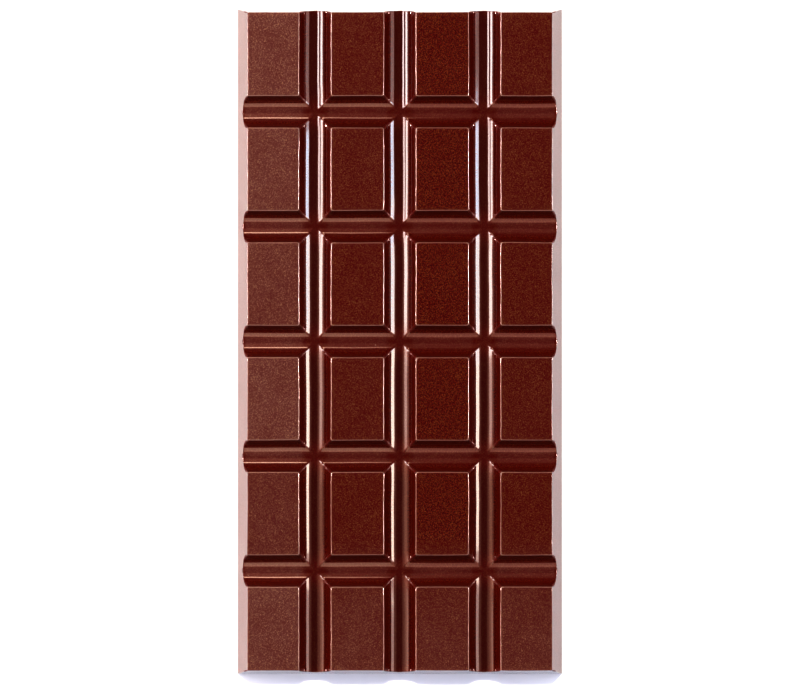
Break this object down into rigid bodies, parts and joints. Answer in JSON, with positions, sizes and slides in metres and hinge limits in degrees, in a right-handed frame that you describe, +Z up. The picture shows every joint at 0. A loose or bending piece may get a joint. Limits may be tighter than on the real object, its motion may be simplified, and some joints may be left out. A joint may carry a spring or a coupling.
{
  "type": "chocolate bar",
  "caption": "Moulded dark chocolate tablet with raised rectangular blocks, round-bottomed snap grooves, sloping walls and a flat back.",
  "frame": {"origin": "centre of the flat back, at the height of the surface that the bar lies on", "axes": "+X across the bar's width, +Y along its length, +Z up out of the moulded face"},
  "size_m": [0.0764, 0.156, 0.008],
  "materials": {
    "chocolate": null
  },
  "bodies": {
    "root": {"chocolate_bar": "chocolate"}
  },
  "joints": []
}
